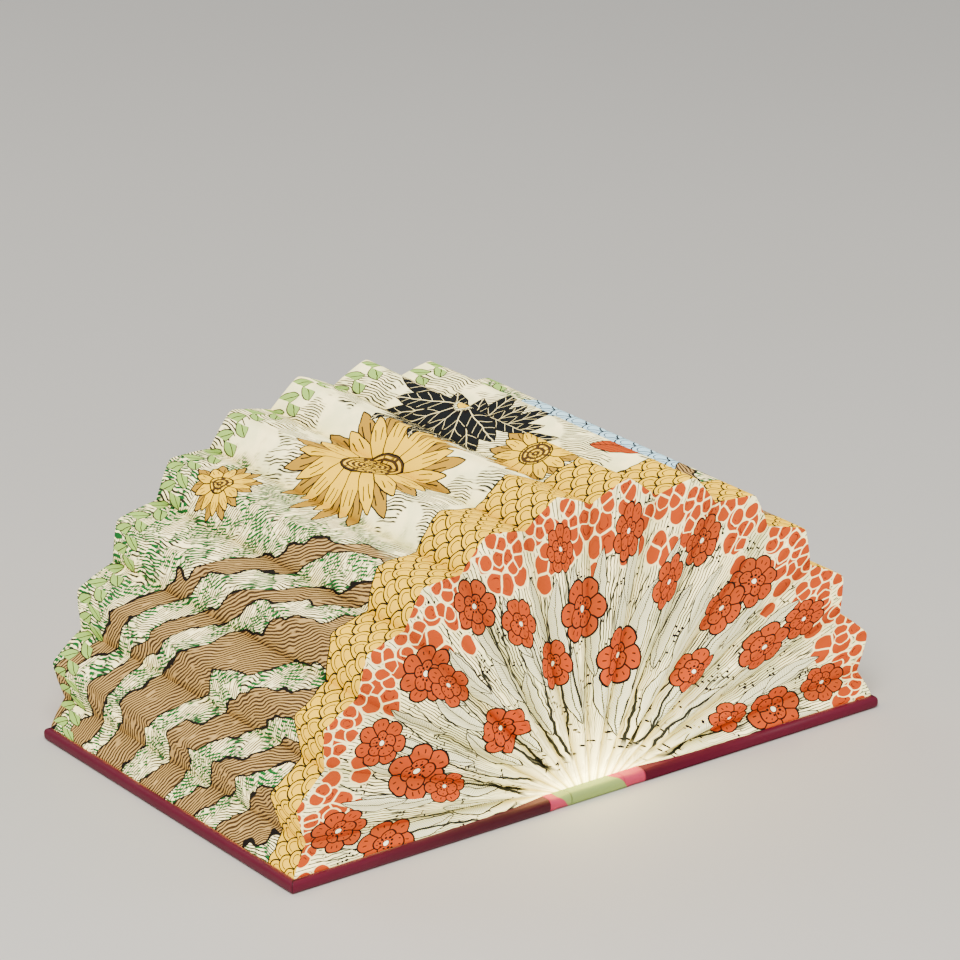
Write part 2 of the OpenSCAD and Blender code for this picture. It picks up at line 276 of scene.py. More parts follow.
def blade(f, under, x, y, length, width, fill, line, veins, pen=colours["outline"]):
    # A leaf with a rib, and side veins that are veins mm apart
    edge = bladeEdge(x, y, length, width)
    under = f.paint(under, fill, edge.inside())
    marks = x.stroke(line * 0.8).least((edge + 0.3).inside())
    if veins:
        slant = (y - abs(x) * 1.3) / veins
        marks = marks.most(((abs(slant - slant.round()) * veins) - line * 0.34).inside().least(
            (edge + 0.5).inside()))
    under = f.paint(under, pen, marks)
    return f.paint(under, colours["outline"], edge.stroke(line))


# spacing, width and length of pen strokes in mm, and the share of their length that is inked
strokes = {"sky": {"spacing": 1.8, "width": 0.8, "run": 12, "cover": 0.7, "ink": "pen"},
           "earth": {"spacing": 1.5, "width": 0.66, "run": 9, "cover": 0.66, "ink": "brown"},
           "meadow": {"spacing": 2.1, "width": 1.25, "run": 3.6, "cover": 0.6, "ink": "meadow"},
           "furrow": {"spacing": 1.7, "width": 0.9, "run": 18, "cover": 0.84, "ink": "brown"},
           "seed": {"spacing": 2.6, "width": 1.2, "run": 4, "cover": 0.6, "ink": "gold"}}


def hatch(f, under, across, along, kind, keep):
    # Fine pen strokes side by side, each broken into dashes
    pen = strokes[kind]
    row = (across / pen["spacing"]).round()
    line = (abs(across - row * pen["spacing"]) - pen["width"] / 2).inside(0.14)
    dash = f.cloud(1, 1.0, along / pen["run"], row * 3.7)
    mask = line.least((dash - pen["cover"] * 0.5 - 0.25).inside(0.06)).least(keep)
    return f.paint(under, colours[pen["ink"]], mask)


paper = {"glow": 11.0, "core": 10, "centre": 4, "reach": 60, "fall": -3.2, "rest": 2.7, "fibre": 0.35,
         "creaseShade": 0.52, "creaseShadeTint": 0.8}


def finishPaper(f, colour):
    # Printed paper lit from inside: brightest round the light bar, dimmer along the folds, where painted
    # shade also darkens its colour
    x, _, z = f.place()
    far = hypot(x, (z - paper["centre"]) * 1.15)
    glow = ((far - paper["core"]).most(0) / paper["reach"] + 1) ** paper["fall"]
    glow = glow * paper["glow"] + paper["rest"]
    fold = f.node("ShaderNodeUVMap", uv_map="fold").outputs[0]
    parts = f.node("ShaderNodeSeparateXYZ", {0: fold})
    away, along = Field(f.tree, parts.outputs[0]), Field(f.tree, parts.outputs[1])
    valley = (away ** 2.2).most((1 - away * 6) * 0.55)
    deep = (1 - along * 0.62).most(0.25)
    shade = 1 - valley * deep * paper["creaseShade"]
    fibres = f.cloud(paper["fibre"], 3.0)
    f.relief(fibres + f.cloud(7) * 1.5, 0.05, 0.5)
    # painted shade: the colour darkens toward each valley of the folds, most toward the middle of the fan
    dark = f.paint(colour, colours["crease"], 1.0, "MULTIPLY")
    creaseShadedColour = f.paint(colour, dark, valley * deep * paper["creaseShadeTint"])
    # ink holds back more of the light from inside than paper does
    feed(f.tree, f.shader.inputs["Emission Color"], f.paint(creaseShadedColour, creaseShadedColour, 1.0, "MULTIPLY"))
    return f.wear(creaseShadedColour, Emission_Strength=glow * shade)


landscape = {"bands": ((122, 11), (150, 6), (178, 9), (214, 12), (242, 6), (268, 5)),
             "fieldEnd": 190, "fieldStray": 80, "fieldSoft": 14, "centre": (-70, -150)}
sunflowers = [{"u": 232, "v": 4, "size": 50, "count": 16}, {"u": 297, "v": -46, "size": 27, "count": 12},
              {"u": 176, "v": 62, "size": 21, "count": 11}]
sunflower = {"back": {"depth": 0.42, "sharp": 1.2, "core": 0.3, "line": 0.8},
             "front": {"depth": 0.4, "sharp": 1.3, "core": 0.3, "line": 0.8}, "frontSize": 0.84, "disc": 0.3}
pond = {"u": 386, "v": 8, "radius": 36, "stray": 30, "scale": 13}
darkPlant = {"u": 306, "v": 22, "step": 36, "start": 5, "length": 46, "wide": 12.5, "eye": 7}
blades = [{"u": 360, "v": -72, "lean": -28, "length": 40, "wide": 0.36},
          {"u": 366, "v": -72, "lean": 12, "length": 44, "wide": 0.34}]
border = {"edge": 80, "swing": 13, "middle": 250, "period": 92, "stray": 7, "scale": 11.5}
garland = {"pitch": 11, "v": 84, "lean": 0.62, "lift": 9, "length": 15, "wide": 7.5}


def drawFurrows(f, base, u, v, ends, field, patch, drift):
    # Brown bands round a far centre
    ring = hypot(ends - landscape["centre"][0], v - landscape["centre"][1])
    for middle, half in landscape["bands"]:
        edge = abs(ring - middle - (patch - 0.5) * 26) - half - (drift - 0.5) * 5
        band = edge.inside().least(field)
        base = f.paint(base, colours["tan"], band)
        base = hatch(f, base, ring + patch * 12, u - v, "furrow", band)
        base = f.paint(base, colours["outline"], edge.stroke(1.2).least(field))
    return base


def drawSunflower(f, base, u, v, flower):
    x, y = u - flower["u"], v - flower["v"]
    r, turn = hypot(x, y), angleOf(x, y)
    size, count = flower["size"], flower["count"]
    base = petals(f, base, r, turn + 0.2, size, count, colours["goldDeep"], **sunflower["back"])
    base = petals(f, base, r, turn, size * sunflower["frontSize"], count, colours["gold"],
                  **sunflower["front"])
    disc = r - size * sunflower["disc"]
    base = f.paint(base, colours["brown"], disc.inside())
    base = hatch(f, base, r, turn * 20, "seed", disc.inside())
    return f.paint(base, colours["outline"], disc.stroke(0.8))


def drawDarkPlant(f, base, u, v):
    # Two crowns of dark leaves with pale veins
    x, y = u - darkPlant["u"], v - darkPlant["v"]
    r, turn = hypot(x, y), angleOf(x, y)
    step = math.radians(darkPlant["step"])
    for half in (0.5, 0):
        cell = (turn / step + half).round() - half
        base = blade(f, base, (turn - cell * step).sin() * r, r - darkPlant["start"],
                     darkPlant["length"] * (0.8 + half * 0.4), darkPlant["wide"], colours["slate"],
                     line=0.55, veins=7, pen=colours["paperShade"])
    return stamens(f, base, r, turn, darkPlant["eye"], colours["gold"])


def landscapePaper():
    # The sheet's long print, between two borders
    f = Finish("paperTop", Roughness=0.82, Specular_IOR_Level=0.2)
    u, v, _ = f.place(wobble=2.4, size=9, uvMap="print")
    ends = u.least(2 * pages["pitches"] * panelWidth - u)
    patch, drift = f.cloud(30), f.cloud(13)
    base = f.paint(colours["paper"], colours["paperShade"], patch * 0.6)
    base = f.paint(base, colours["wash"], (0.5 - drift).inside(0.2) * 0.5)
    field = (ends - landscape["fieldEnd"] - (patch - 0.5) * landscape["fieldStray"]).inside(
        landscape["fieldSoft"])
    bend = u + (v / 31).sin() * 9 + patch * 16
    base = hatch(f, base, bend + v * 0.3, v, "sky", (patch - 0.5).inside(0.03))
    base = hatch(f, base, v + u * 0.35, bend, "earth", (0.5 - patch).inside(0.04).least(field))
    base = hatch(f, base, bend + v * 0.5, v - u * 0.4, "meadow", field.least((0.45 - drift).inside(0.05)))
    base = drawFurrows(f, base, u, v, ends, field, patch, drift)
    for flower in sunflowers:
        base = drawSunflower(f, base, u, v, flower)
    # a pond of overlapping rings in rows
    pool = hypot((u - pond["u"]) * 1.05, (v - pond["v"]) * 0.62) - pond["radius"]
    pool = pool - (drift - 0.5) * pond["stray"]
    waves, inPool = scallops(u, v, pond["scale"]), pool.inside()
    base = f.paint(base, colours["blue"], inPool)
    base = f.paint(base, colours["outline"], waves.least(inPool).most(pool.stroke(0.7)))
    base = drawDarkPlant(f, base, u, v)
    for leaf in blades:
        x, y = turned(u - leaf["u"], v - leaf["v"], math.radians(leaf["lean"]))
        base = blade(f, base, x, y, leaf["length"], leaf["length"] * leaf["wide"], colours["coral"],
                     line=0.6, veins=3.1)
    # gold scallops along the near edge and a leaf garland along the far one
    swing = ((u - border["middle"]) / border["period"]).cos().most(-0.4) * border["swing"]
    edge = v + border["edge"] - swing - (drift - 0.5) * border["stray"]
    base = f.paint(base, colours["gold"], edge.inside())
    scales = scallops(u, v, border["scale"]).least((edge - 0.2).inside())
    base = f.paint(base, colours["outline"], scales.most(edge.stroke(0.8)))
    row = (u / garland["pitch"]).round()
    x, y = u - row * garland["pitch"], v - garland["v"]
    for lean, lift in ((garland["lean"], 0), (-garland["lean"], garland["lift"])):
        base = blade(f, base, *turned(x, y - lift, lean), garland["length"], garland["wide"],
                     colours["sage"], line=0.6, veins=0)
    return finishPaper(f, base)


def scallops(u, v, size):
    # The lines of a fish-scale pattern: rings in rows, each row over half of the one before
    level = (v / (size * 0.5)).floor()
    marks = None
    for lower in (0, 1):
        row = level - lower
        shift = (row * 0.5).fract() * size
        x = u - shift - ((u - shift) / size).round() * size
        far = hypot(x, v - row * (size * 0.5))
        ring = (far - size * 0.5 + 0.3).stroke(0.8).most((far - size * 0.27).stroke(0.5))
        marks = ring if marks is None else marks.most(ring.least((size * 0.5 - lastFar).inside()))
        lastFar = far
    return marks


garden = [{"kind": "leaf", "radius": 26, "step": 15, "shift": 0.5, "stray": 0.5, "drift": 12,
           "size": 40, "wide": 5.5, "seed": 3},
          {"kind": "leaf", "radius": 58, "step": 9.5, "shift": 0.0, "stray": 0.6, "drift": 18,
           "size": 44, "wide": 6.5, "seed": 5},
          {"kind": "leaf", "radius": 78, "step": 8, "shift": 0.5, "stray": 0.6, "drift": 16,
           "size": 36, "wide": 5.5, "seed": 8},
          {"kind": "flower", "radius": 117, "step": 18, "shift": 0.5, "stray": 0.25, "drift": 12,
           "size": 15, "count": 7, "seed": 12},
          {"kind": "flower", "radius": 90, "step": 21.5, "shift": 0.0, "stray": 0.35, "drift": 16,
           "size": 15, "count": 6, "seed": 13},
          {"kind": "flower", "radius": 60, "step": 30, "shift": 0.5, "stray": 0.3, "drift": 16,
           "size": 14, "count": 6, "seed": 11}]
bloom = {"outer": {"depth": 0.22, "sharp": 2.4, "core": 0.34, "line": 0.9},
         "inner": {"depth": 0.26, "sharp": 2.0, "core": 0.34, "line": 0.75}, "innerSize": 0.55, "eye": 0.22}
blots = ({"size": 12.5, "from": 108, "to": 136, "gap": 0.05},
         {"size": 8.6, "from": 126, "to": 200, "gap": 0.06})
penLines = ({"pitch": 0.72, "bow": 0.0, "seed": 3.7, "cover": 0.66, "wide": 0.4},
            {"pitch": 1.7, "bow": 0.12, "seed": 9.1, "cover": 0.46, "wide": 0.5},
            {"pitch": 4.6, "bow": 0.3, "seed": 5.3, "cover": 0.5, "wide": 0.64})
seedDots = {"size": 2.4, "radius": 0.24, "patch": 9}


def scatter(f, under, turn, r, blot):
    # Irregular long blots of colour packed side by side, some with a short curved mark
    spot = f.node("ShaderNodeCombineXYZ", {0: turn * 200, 1: r}).outputs[0]
    made = [f.node("ShaderNodeTexVoronoi", {"Vector": spot, "Scale": 1 / blot["size"], "Randomness": 0.82},
                   feature=feature, voronoi_dimensions="2D") for feature in ("F1", "DISTANCE_TO_EDGE")]
    far, rim = (Field(f.tree, node.outputs["Distance"]) for node in made)
    middle = Field(f.tree, f.node("ShaderNodeSeparateXYZ", {0: made[0].outputs["Position"]}).outputs[1])
    luck = f.chance(middle, 4)
    out = middle + (luck - 0.5) * 12
    keep = (blot["from"] - out).inside(0.01).least((out - blot["to"]).inside(0.01))
    shape = (blot["gap"] - rim).most(far - 0.47)
    under = f.paint(under, colours["paperShade"], (shape - 0.1).inside(0.03).least(keep))
    under = f.paint(under, colours["coral"], shape.inside(0.03).least(keep))
    mark = (far - 0.2 - luck * 0.1).stroke(0.05, 0.03).least((luck - 0.5).inside(0.1))
    mark = mark.least((rim - 0.28).inside(0.06)).least((shape + 0.12).inside(0.02)).least(keep)
    return f.paint(under, colours["coralDeep"], mark)


def drawPenLines(f, base, r, turn, body):
    # Broken lines that run out from the middle, finer near it and drawn paler there, as painted light from
    # the light bar washing over them
    swell = (r / 80).least(1)
    for row in penLines:
        pitch = math.radians(row["pitch"])
        swing = (turn + (r / 36).sin() * (row["bow"] * 0.3)) / pitch
        line = swing.round()
        drawn = (abs(swing - line) * r * pitch - swell * (row["wide"] / 2)).inside(0.14)
        dash = f.cloud(1, 1.0, r / 26, line * row["seed"])
        inked = drawn.least((1 - row["cover"] - dash * 0.94).inside(0.06)).least(body)
        # painted light: toward the middle the pen is laid on thinner, as if washed out by the light bar's
        # glow
        base = f.paint(base, colours["pen"], inked * (swell * 0.6 + 0.4))
    return base


def drawBloom(f, base, across, along, r, ring, sideLuck, outLuck):
    # A stem, a flower of two crowns on it and its eye
    stem = (across + (along / 12).sin() * 1.2).stroke(0.7).least(along.inside()).least((16 - r).inside(6))
    base = f.paint(base, colours["pen"], stem)
    size = sideLuck * 0.3 + 0.82
    lean = outLuck * 0.95 + 1.15  # some flowers are seen from the side
    across, along = across * lean / size, along / size
    far, spin = hypot(across, along), angleOf(across, along) + outLuck * math.tau
    base = petals(f, base, far, spin, ring["size"], ring["count"], colours["coral"], **bloom["outer"])
    base = petals(f, base, hypot(across + 0.8, along + 1.2), spin + 0.5, ring["size"] * bloom["innerSize"],
                  ring["count"] - 2, colours["coral"], **bloom["inner"])
    return stamens(f, base, far, spin, ring["size"] * bloom["eye"], colours["cream"])


def gardenPaper():
    # The print on both ends: rings of flowers and leaves round the middle of the fan, and coral blots beyond
    f = Finish("paperEnd", Roughness=0.82, Specular_IOR_Level=0.2)
    x, z, _ = f.place(wobble=2.0, size=8, uvMap="print")
    r, turn = hypot(x, z), angleOf(z, x)  # turn is 0 straight up
    patch = f.cloud(24)
    base = f.paint(colours["paper"], colours["paperShade"], patch * 0.7)
    body = (9 - r).inside(10)
    base = f.paint(base, colours["wash"], (0.5 - patch).inside(0.16).least((36 - r).inside(30)) * 0.6)
    base = drawPenLines(f, base, r, turn, body)
    grain = f.node("ShaderNodeTexVoronoi", {"Vector": f.spot, "Scale": 1 / seedDots["size"]},
                   voronoi_dimensions="2D")
    dots = (Field(f.tree, grain.outputs["Distance"]) - seedDots["radius"]).inside(0.06)
    dots = dots.least((f.cloud(seedDots["patch"]) - 0.44).inside(0.03))
    base = f.paint(base, colours["outline"], dots.least(body))
    for blot in blots:
        base = scatter(f, base, turn, r, blot)
    for ring in garden:
        step = math.radians(ring["step"])
        cell = (turn / step + ring["shift"]).round()
        sideLuck, outLuck = f.chance(cell, ring["seed"]), f.chance(cell, ring["seed"] + 7)
        across = (turn - (cell - ring["shift"]) * step + (sideLuck - 0.5) * step * ring["stray"]) * r
        along = r - ring["radius"] - (outLuck - 0.5) * ring["drift"]
        if ring["kind"] == "leaf":
            base = blade(f, base, across + (along / 14).sin() * 2.4, along, ring["size"], ring["wide"],
                         colours["leaf"], line=0.4, veins=1.15, pen=colours["pen"])
        else:
            base = drawBloom(f, base, across, along, r, ring, sideLuck, outLuck)
    return finishPaper(f, base)


def plainPaper():
    f = Finish("paperInside", Roughness=0.85)
    f.place()
    return finishPaper(f, f.paint(colours["paper"], colours["paperShade"], f.cloud(12)))


leather = {"grain": 0.55, "depth": 0.09, "roughness": 0.56, "shine": 0.22,
           "wear": (0.45, 0.4, 0.42, 1), "worn": 0.35}


def leatherette(f, colour, cut=0):
    # Fine pebbled grain with a dull shine
    pebble = f.node("ShaderNodeTexVoronoi", {"Vector": f.spot, "Scale": 1 / leather["grain"]},
                    feature="SMOOTH_F1")
    height = Field(f.tree, pebble.outputs["Distance"]) * 0.7 + f.cloud(3.2) * 0.5
    f.relief(height - cut * 2, leather["depth"], 0.6)
    rough = f.cloud(18) * 0.16 + leather["roughness"] - 0.08
    tone = f.cloud(22, 3.0)
    deep = f.paint(colour, leather["wear"], leather["worn"], "MULTIPLY")
    return f.wear(f.paint(colour, deep, tone), Roughness=rough)


# the panel on the left cover's outer face, in mm from the middle of the lamp
panel = {"top": 93, "outer": 162.6, "inner": 31.6, "middle": 97, "greenAt": 36, "greenHalf": 44,
         "star": {"radius": 38, "count": 12, "depth": 0.5, "sharp": 1.1, "core": 0.3, "line": 0.6},
         "flower": {"radius": 25, "count": 8, "depth": 0.28, "sharp": 2.4, "core": 0.24, "line": 0.6},
         "small": {"radius": 8.5, "count": 6, "depth": 0.4, "sharp": 1.4, "core": 0.3, "line": 0.5},
         "rows": ((70, "sage"), (29, "pinkPrintAndLitCrimson")), "pitch": 21, "rulesAt": 49.5, "rulesApart": 6, "rulesHalf": 58}
seam = {"run": 14, "width": 0.5, "height": 1.2}


def coverLeather():
    # Crimson, with a panel of cream over green over cream
    f = Finish("coverLeather", Specular_IOR_Level=leather["shine"])
    x, y, z = f.place()
    inPanel = (abs(y) - panel["top"]).most(x * -1 - panel["outer"]).most(x + panel["inner"]).most(z - 0.6)
    green = (abs(y + panel["greenAt"]) - panel["greenHalf"]).inside()
    art = f.paint(colours["cream"], colours["sage"], green)
    # a plain flower ornament in the green
    across, along = x + panel["middle"], y + panel["greenAt"]
    far, turn = hypot(across, along), angleOf(across, along)
    art = petals(f, art, far, turn + 0.26, fill=colours["cream"], **panel["star"])
    art = petals(f, art, far, turn, fill=colours["coral"], **panel["flower"])
    art = stamens(f, art, far, turn, 5, colours["cream"])
    for height, tint in panel["rows"]:
        step = across / panel["pitch"] - 0.5
        dotX, dotY = (step - step.round()) * panel["pitch"], y - height
        art = petals(f, art, hypot(dotX, dotY), angleOf(dotX, dotY), fill=colours[tint], **panel["small"])
    rules = (abs(y - panel["rulesAt"]) - panel["rulesApart"]).stroke(1.8)
    art = f.paint(art, colours["pinkPrintAndLitCrimson"], rules.least((abs(across) - panel["rulesHalf"]).inside()))
    colour = f.paint(colours["crimson"], art, inPanel.inside())
    # the cloth's mitred seam over each outer corner
    cut = ((abs(x) - coverEdge) - (abs(y) - coverHalf)).stroke(seam["width"], 0.3)
    cut = cut.least((coverHalf - seam["run"] - abs(y)).inside()).least((seam["height"] - z).inside(0.6))
    return leatherette(f, f.paint(colour, colours["outline"], cut * 0.8), cut)


spinePrint = {"slip": 7.7, "half": 17.1, "start": 101, "run": 13, "rulesAt": 84, "rulesApart": 2.4}


def spineStripe(x, around):
    # The spine's green, which slips sideways where the cloth turns in over the head and the foot
    return (abs(x + (1 - around) * spinePrint["slip"]) - spinePrint["half"]).inside(0.3)


def jointLeather():
    f = Finish("jointLeather", Specular_IOR_Level=leather["shine"])
    x, y, _ = f.place(uvMap="print")
    around = (abs(y) - spinePrint["start"]).step("DIVIDE", spinePrint["run"], clamp=True)
    # painted light: beside the green, the crimson cloth is painted pink as it looks lit by the lamp
    return leatherette(f, f.paint(colours["pinkPrintAndLitCrimson"], colours["sage"], spineStripe(x, around)))


def spineLeather():
    f = Finish("spineLeather", Specular_IOR_Level=leather["shine"])
    x, y, z = f.place()
    around = (abs(y) - spinePrint["start"] + coverTop - z).step("DIVIDE", spinePrint["run"], clamp=True)
    around = around.most((coverTop - z) / coverTop)
    rules = (abs(abs(y) - spinePrint["rulesAt"]) - spinePrint["rulesApart"]).stroke(0.9)
    sage = f.paint(colours["sage"], colours["cream"], rules.least((z - 0.6).inside()))
    # painted light: beside the green, the crimson cloth is painted pink as it looks lit by the lamp
    return leatherette(f, f.paint(colours["pinkPrintAndLitCrimson"], sage, spineStripe(x, around)))


def mottled(name, light, dark, size, roughness, depth=0.04, **constants):
    # A plain stuff with a fine, uneven surface
    f = Finish(name, Roughness=roughness, **constants)
    f.place()
    f.relief(f.cloud(size * 0.3, 3.0), depth)
    return f.wear(f.paint(ink(light), ink(dark), f.cloud(size, 3.0)))


def greyboard():
    f = Finish("greyboard", Roughness=0.9)
    f.place()
    fleck = (f.cloud(1.1, 1.0) - 0.66).inside(0.05)
    colour = f.paint(ink("#8c7a5c"), f.paint(ink("#a8977a"), ink("#9a8768"), f.cloud(6)), fleck)
    f.relief(f.cloud(0.8), 0.08)
    return f.wear(colour)


def circuitBoard():
    # Solder mask with copper tracks under it and tinned pads
    f = Finish("circuitBoard", Roughness=0.35)
    x, y, _ = f.place()
    track = ((x / 1.6 - (x / 1.6).round()) * 1.6).stroke(0.5).least((f.cloud(7) - 0.55).inside(0.02))
    pad = hypot((x / 3 - (x / 3).round()) * 3, (y / 3 - (y / 3).round()) * 3)
    colour = f.paint(ink("#dfe8df"), ink("#b9cbb9"), track)
    colour = f.paint(colour, ink("#c8c2a8"), (pad - 0.35).inside().least((0.6 - f.cloud(9)).inside(0.02)))
    f.relief(track, 0.03)
    return f.wear(colour)


def metal(name, tone, roughness, grain):
    f = Finish(name, Metallic=1.0)
    x, y, _ = f.place()
    brushed = f.cloud(1, 2.0, x / grain, y / (grain * 14))
    f.relief(brushed, 0.01)
    return f.wear(f.paint(ink(tone), ink("#6f6f72"), brushed * 0.3), Roughness=brushed * 0.2 + roughness)


def frosted(name, strength):
    f = Finish(name, Roughness=0.5, Subsurface_Weight=0.2)
    f.place()
    colour = f.paint(ink("#fbf7ea"), ink("#efe8d2"), f.cloud(9))
    f.relief(f.cloud(0.5), 0.02)
    feed(f.tree, f.shader.inputs["Emission Color"], ink("#ffe9b8"))
    return f.wear(colour, Emission_Strength=strength)


def wireSkin():
    # Red on the left side and black on the right
    f = Finish("wireSkin", Roughness=0.35)
    x, _, _ = f.place()
    f.relief(f.cloud(1.2), 0.02)
    return f.wear(f.paint(ink("#1c1c1d"), ink("#8e1414"), x.inside()))


# ---- pages

pages = {"pitches": 13, "droop": 2.3, "ridge": 144, "valley": 134, "lift": 3.6,
         "ridgeEnd": 105.5, "valleyEnd": 104, "rootEnd": 101, "glued": 2.5, "thick": 0.35,
         "swell": 2.6, "swellAt": 0.27, "bow": 0.5, "sag": 0.5, "soft": 0.22,
         "ridgeSink": 0.5, "ridgeDraw": 0.4, "looseRate": 1.5,
         "ripple": 0.3, "rippleSize": 30, "rippleSeed": 5,
         "crease": 1.3, "keep": 0.036, "columns": (0, 0.04, 0.1, 0.2, 0.35, 0.55, 0.78, 1),
         "endRows": 22, "topRows": 44, "lip": 0.6, "axle": 19.4, "axleHeight": 0.9, "closed": 22}
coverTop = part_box("right_cover_wrap")[1].z / mm
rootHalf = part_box("right_cover_wrap")[0].x / mm
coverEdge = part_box("right_cover_wrap")[1].x / mm
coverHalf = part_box("right_cover_wrap")[1].y / mm


def foldAngle(k):
    return math.radians((180 + 2 * pages["droop"]) * k / pages["pitches"] - pages["droop"])


def foldRoot(k):
    return Vector((rootHalf * (2 * k / pages["pitches"] - 1), -pages["rootEnd"], coverTop))


def foldTip(k):
    # Where fold k meets the near edge: whole numbers are ridges and halves are valleys
    if k in (0, pages["pitches"]):
        side = -1 if k == 0 else 1
        return Vector((side * (coverEdge - pages["glued"]), -pages["ridgeEnd"], coverTop + pages["thick"]))
    reach, end = (pages["ridge"], pages["ridgeEnd"]) if k == int(k) else (pages["valley"], pages["valleyEnd"])
    angle = foldAngle(k)
    return Vector((foldRoot(k).x - reach * math.cos(angle), -end,
                   coverTop + pages["lift"] + reach * math.sin(angle)))


panelWidth = (foldTip(6) - foldTip(6.5)).length


def hump(share):
    # How far the folds stand out from the end face, from root to edge
    rise = share / pages["swellAt"]
    return rise * math.exp(1 - rise) * (1 - share ** 4)


def leafLine(k, away):
    # The root and the tip of a line across the end, away from ridge k (0) toward a valley (-1 or 1)
    valley = k + math.copysign(0.5, away)
    return foldRoot(k).lerp(foldRoot(valley), abs(away)), foldTip(k).lerp(foldTip(valley), abs(away))


def pagePoint(k, away, along):
    # A point of the sheet: along runs from the near root (0) over the near edge (1) and the far edge (2) to
    # the far root (3)
    root, tip = leafLine(k, away)
    s = abs(away)
    outward = Vector((tip.x - root.x, 0, tip.z - root.z)).normalized()
    soft = max(0, 1 - s * panelWidth / pages["crease"] / 2) ** 2
    tip += outward * (pages["bow"] * math.sin(math.pi * s) - pages["ridgeSink"] * soft)
    if 1 < along < 2:
        point = Vector((tip.x, tip.y + (along - 1) * -2 * tip.y, tip.z))
        point -= outward * pages["sag"] * math.sin(math.pi * (along - 1)) * math.sin(math.pi * s)
    else:
        share = along if along <= 1 else 3 - along
        point = root.lerp(tip, share)
        point.y -= pages["swell"] * (1 - 2 * s) * hump(share) - pages["ridgeDraw"] * soft * share
        if along >= 2:
            point.y = -point.y
    if along in (1, 2):
        point -= outward * pages["soft"] + Vector((0, math.copysign(pages["soft"], point.y), 0))
    if 0 < along < 3:
        loose = min(1, min(along, 3 - along) * pages["looseRate"])
        point += noise.noise_vector(point / pages["rippleSize"]) * pages["ripple"] * loose
    return point * mm


def foldAcross(k):
    # Square to fold k, and how far it slides that way so that the shut pages lie side by side
    angle, start = foldAngle(k), foldRoot(k)
    middle = 2 * k / pages["pitches"] - 1
    axle = pages["axle"] * middle
    shut = axle + (start.x - axle) * math.sin(angle) + (start.z - pages["axleHeight"]) * math.cos(angle)
    return Vector((math.sin(angle), 0, math.cos(angle))), pages["closed"] / 2 * middle - shut


def sheetRows():
    # Where the grid's rows lie along the sheet: closer together toward its two edges
    ends = [1 - (1 - i / pages["endRows"]) ** 1.5 for i in range(pages["endRows"])]
    ends.append(1 - pages["lip"] / pages["ridge"])
    lip = pages["lip"] / (2 * pages["ridgeEnd"])
    top = [1, 1 + lip, *[1 + i / pages["topRows"] for i in range(1, pages["topRows"])], 2 - lip, 2]
    return [*ends, *top, *[3 - along for along in reversed(ends)]]


def pagePiece(name, k, low, high, body, materials):
    # One pleat of the sheet from low to high, in half pitches from its ridge
    columns = sorted({side * away for side in (-1, 1) for away in pages["columns"]
                      if low <= side * away <= high})
    rows = sheetRows()
    bm = bmesh.new()
    bmesh.ops.create_grid(bm, x_segments=len(columns) - 1, y_segments=len(rows) - 1, size=0.5)
    place = {}
    for vert in bm.verts:
        column, row = (vert.co.x + 0.5) * (len(columns) - 1), (vert.co.y + 0.5) * (len(rows) - 1)
        place[vert] = (columns[round(column)] or (low + high) * 1e-9, rows[round(row)])
    uv, fold = bm.loops.layers.uv.new("print"), bm.loops.layers.uv.new("fold")
    for vert, (away, along) in place.items():
        vert.co = pagePoint(k, away, along)
    for face in bm.faces:
        middle = sum(place[v][1] for v in face.verts) / len(face.verts)
        face.material_index = 0 if 1 < middle < 2 else 1
        face.smooth = True
        for loop in face.loops:
            away, along = place[loop.vert]
            loop[fold].uv = (abs(away), min(along, 3 - along, 1))
            if face.material_index == 0:
                loop[uv].uv = ((2 * k + away) * panelWidth * mm, loop.vert.co.y)
            else:
                root, tip = leafLine(k, away)
                reach = (tip - root) * min(along, 3 - along) * mm
                loop[uv].uv = (reach.x, reach.z)
    bm.normal_update()
    top = max(bm.faces, key=lambda f: f.calc_area())
    middle = top.calc_center_median()
    if top.normal.dot(Vector((middle.x, 0, middle.z))) < 0:
        bmesh.ops.reverse_faces(bm, faces=bm.faces)
    piece = asPiece(name, bm, materials)
    shell = piece.modifiers.new("paper", "SOLIDIFY")
    shell.thickness, shell.offset, shell.material_offset = pages["thick"] * mm, -1, 2
    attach(piece, body)
    return piece


def asPiece(name, bm, materials):
    data = bpy.data.meshes.new(name)
    bm.normal_update()
    bm.to_mesh(data)
    bm.free()
    for material in materials:
        data.materials.append(material)
    piece = bpy.data.objects.new(name, data)
    bpy.context.scene.collection.objects.link(piece)
    return piece


def makePages():
    noise.seed_set(pages["rippleSeed"])  # unset, the noise differs from run to run
    printed = [landscapePaper(), gardenPaper(), plainPaper()]
    last = pages["pitches"]
    for k in range(1, last):
        piece = pagePiece(f"page_{k}", k, -1, 1, f"pleat_{k}", printed)
        across, slide = foldAcross(k)
        (foldRoot(k) + across * slide / (1 - pages["keep"])) * mm
        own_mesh(piece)
        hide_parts(f"pleat_{k}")
    for side, k, low, high in (("left", 0, 0, 1), ("right", last, -1, 0)):
        piece = pagePiece(f"{side}EndPage", k, low, high, f"{side}_cover", printed)
        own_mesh(piece)
        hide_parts(f"{side}_end_pleat")
    print("pages made")


# ---- covers, joints and spine

cover = {"edge": 2.3, "corner": 1.6, "turnIn": 14.2, "step": 0.25}


